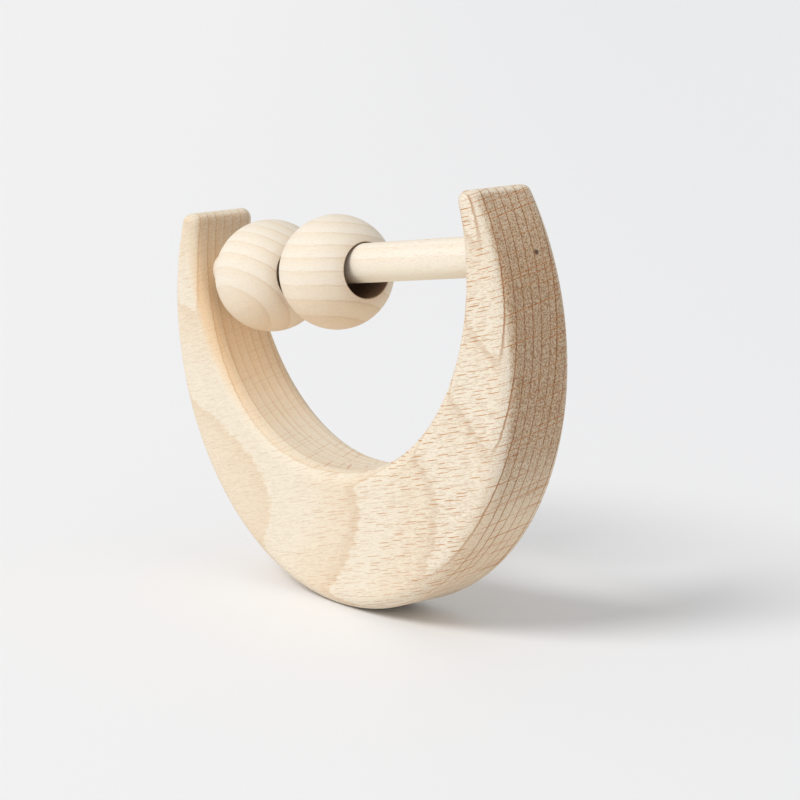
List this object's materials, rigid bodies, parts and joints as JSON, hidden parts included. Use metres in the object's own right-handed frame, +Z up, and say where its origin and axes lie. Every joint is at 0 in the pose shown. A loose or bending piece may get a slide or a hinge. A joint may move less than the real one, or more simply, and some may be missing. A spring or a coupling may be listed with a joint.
{
  "type": "baby rattle",
  "caption": "Wooden crescent-shaped baby rattle with loose balls that slide and knock on a dowel fixed across its arms.",
  "frame": {"origin": "the point of the round bottom that it stands on, in the middle of the board's thickness, as it rests on a table: rocked 9 degrees over to the left, where the balls are", "axes": "+X level, towards the arm with the blind socket, and the dowel rises 9 degrees along it; -Y out of the front face; +Z up"},
  "size_m": [0.1184, 0.025, 0.0953],
  "materials": {
    "handle_wood": "fine-sanded bare beech, flat-sawn, matt",
    "dowel_wood": "turned beech rod, grain along the rod, matt",
    "bead_wood": "turned beech ball, grain along the bore, matt"
  },
  "bodies": {
    "handle": {"crescent_handle": "handle_wood", "dowel": "dowel_wood"},
    "left_bead": {"left_bead": "bead_wood"},
    "right_bead": {"right_bead": "bead_wood"}
  },
  "joints": [
    {"name": "left_bead_slide", "type": "slide", "parent": "handle", "child": "left_bead", "axis": [0.9877, 0, 0.1564], "range_m": [-0.0041, 0.0195]},
    {"name": "right_bead_slide", "type": "slide", "parent": "left_bead", "child": "right_bead", "axis": [0.9877, 0, 0.1564], "range_m": [-0.0025, 0.0214]}
  ]
}
